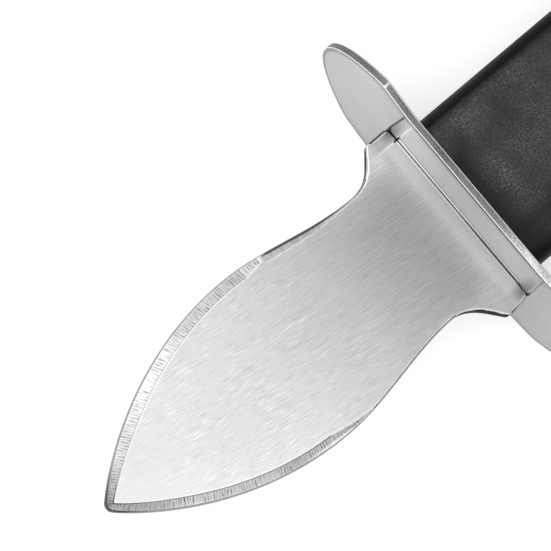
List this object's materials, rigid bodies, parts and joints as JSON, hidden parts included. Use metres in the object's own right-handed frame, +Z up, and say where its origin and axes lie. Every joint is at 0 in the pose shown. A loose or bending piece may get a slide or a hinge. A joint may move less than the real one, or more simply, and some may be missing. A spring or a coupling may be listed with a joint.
{
  "type": "oyster knife",
  "caption": "Oyster knife with a short leaf-shaped steel blade, an oval hand guard and a full tang between riveted black handle scales, for prying shells open.",
  "frame": {"origin": "on the surface that the knife lies on, under the middle of its overall box; the lower flat of the guard is at z = 0", "axes": "+X along the knife from butt to tip, +Y across the blade, +Z up, square to the blade's broad face"},
  "size_m": [0.1634, 0.0544, 0.019],
  "materials": {
    "blade_steel": "brushed along the blade, ground edges",
    "guard_steel": "polished faces, sheared rim",
    "scale_plastic": "black moulded, fine grain",
    "rivet_steel": "ground flush with the scales"
  },
  "bodies": {
    "root": {"blade": "blade_steel", "guard": "guard_steel", "upper_scale": "scale_plastic", "lower_scale": "scale_plastic", "rivet_tube_front": "rivet_steel", "rivet_tube_middle": "rivet_steel", "rivet_tube_rear": "rivet_steel", "rivet_pin_front": "rivet_steel", "rivet_pin_middle": "rivet_steel", "rivet_pin_rear": "rivet_steel"}
  },
  "joints": []
}
